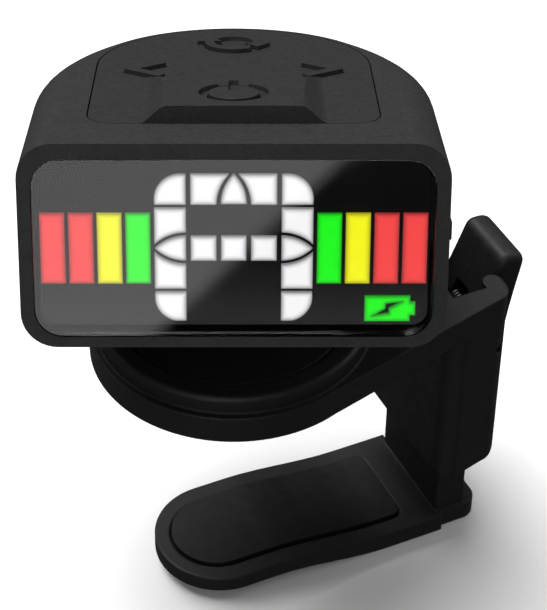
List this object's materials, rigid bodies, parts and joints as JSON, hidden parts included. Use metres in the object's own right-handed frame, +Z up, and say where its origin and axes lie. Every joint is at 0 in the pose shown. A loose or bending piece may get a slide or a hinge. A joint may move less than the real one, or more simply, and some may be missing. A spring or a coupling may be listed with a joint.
{
  "type": "clip-on tuner",
  "caption": "Clip-on instrument tuner: lit display head with raised keys, leaning and turning on a ratchet clamp with a padded lower jaw and release lever.",
  "frame": {"origin": "centre of the upper jaw pad's face, where the clamp rests on the headstock", "axes": "+X along the arm towards the column, +Z up from the headstock face to the head, +Y across the arm away from the player"},
  "size_m": [0.0488, 0.0429, 0.0558],
  "materials": {
    "shell_plastic": "fine grained matt black moulding",
    "jaw_plastic": "fine grained matt black moulding",
    "pad_rubber": "smooth soft black rubber",
    "key_rubber": "soft-touch black key mat",
    "pin_steel": "plain steel",
    "lens_acrylic": "smoked glossy acrylic",
    "mask_black": "black display body",
    "segment_white": "lit white segment",
    "segment_red": "lit red segment",
    "segment_yellow": "lit yellow segment",
    "segment_green": "lit green segment",
    "board_green": "solder-masked circuit board",
    "cell_foil": "foil pouch",
    "socket_steel": "drawn steel shell",
    "piezo_brass": "brass disc with a ceramic face"
  },
  "bodies": {
    "clamp": {"clamp_frame": "shell_plastic", "upper_jaw_pad": "pad_rubber", "lever_pin": "pin_steel", "lever_spring": "pin_steel", "swivel_screw": "pin_steel", "swivel_washer": "pin_steel"},
    "release_lever": {"release_lever": "shell_plastic"},
    "lower_jaw": {"lower_jaw": "jaw_plastic", "lower_jaw_pad": "pad_rubber"},
    "turntable": {"turntable": "shell_plastic", "tilt_pin": "pin_steel"},
    "head": {"head_housing": "shell_plastic", "base_cover": "shell_plastic", "cover_screws": "pin_steel", "display_lens": "lens_acrylic", "lens_gasket": "pad_rubber", "light_guide": "mask_black", "note_segments": "segment_white", "red_segments": "segment_red", "yellow_segments": "segment_yellow", "green_segments": "segment_green", "display_board": "board_green", "main_board": "board_green", "board_screws": "pin_steel", "tact_switches": "socket_steel", "battery_cell": "cell_foil", "usb_socket": "socket_steel", "piezo_disc": "piezo_brass", "key_panel": "key_rubber"},
    "key_left": {"key_left": "key_rubber"},
    "key_right": {"key_right": "key_rubber"},
    "key_flip": {"key_flip": "key_rubber"},
    "key_power": {"key_power": "key_rubber"},
    "port_cover": {"port_cover": "key_rubber"}
  },
  "joints": [
    {"name": "jaw_slide", "type": "slide", "parent": "clamp", "child": "lower_jaw", "axis": [0, 0, 1], "range_m": [-0.0025, 0.0062]},
    {"name": "lever_pivot", "type": "hinge", "parent": "clamp", "child": "release_lever", "pos_m": [0.0227, 0, -0.003], "axis": [0, -1, 0], "range_deg": [0, 10], "stiffness_Nm_per_rad": 0.02},
    {"name": "head_turn", "type": "hinge", "parent": "clamp", "child": "turntable", "pos_m": [0, 0, 0.004], "axis": [0, 0, 1], "continuous": true},
    {"name": "head_tilt", "type": "hinge", "parent": "turntable", "child": "head", "pos_m": [-0.00036, -0.00078, 0.00649], "axis": [0.9097, -0.4152, 0], "range_deg": [0, 30]},
    {"name": "press_left", "type": "slide", "parent": "head", "child": "key_left", "axis": [-0.1324, -0.2902, -0.9478], "range_m": [0, 0.0003], "stiffness_N_per_m": 4000},
    {"name": "press_right", "type": "slide", "parent": "head", "child": "key_right", "axis": [-0.1324, -0.2902, -0.9478], "range_m": [0, 0.0003], "stiffness_N_per_m": 4000},
    {"name": "press_flip", "type": "slide", "parent": "head", "child": "key_flip", "axis": [-0.1324, -0.2902, -0.9478], "range_m": [0, 0.0003], "stiffness_N_per_m": 4000},
    {"name": "press_power", "type": "slide", "parent": "head", "child": "key_power", "axis": [-0.1324, -0.2902, -0.9478], "range_m": [0, 0.0003], "stiffness_N_per_m": 4000},
    {"name": "port_cover_hinge", "type": "hinge", "parent": "head", "child": "port_cover", "pos_m": [0.01494, -0.00651, 0.01756], "axis": [0.1324, 0.2902, 0.9478], "range_deg": [0, 95]}
  ]
}
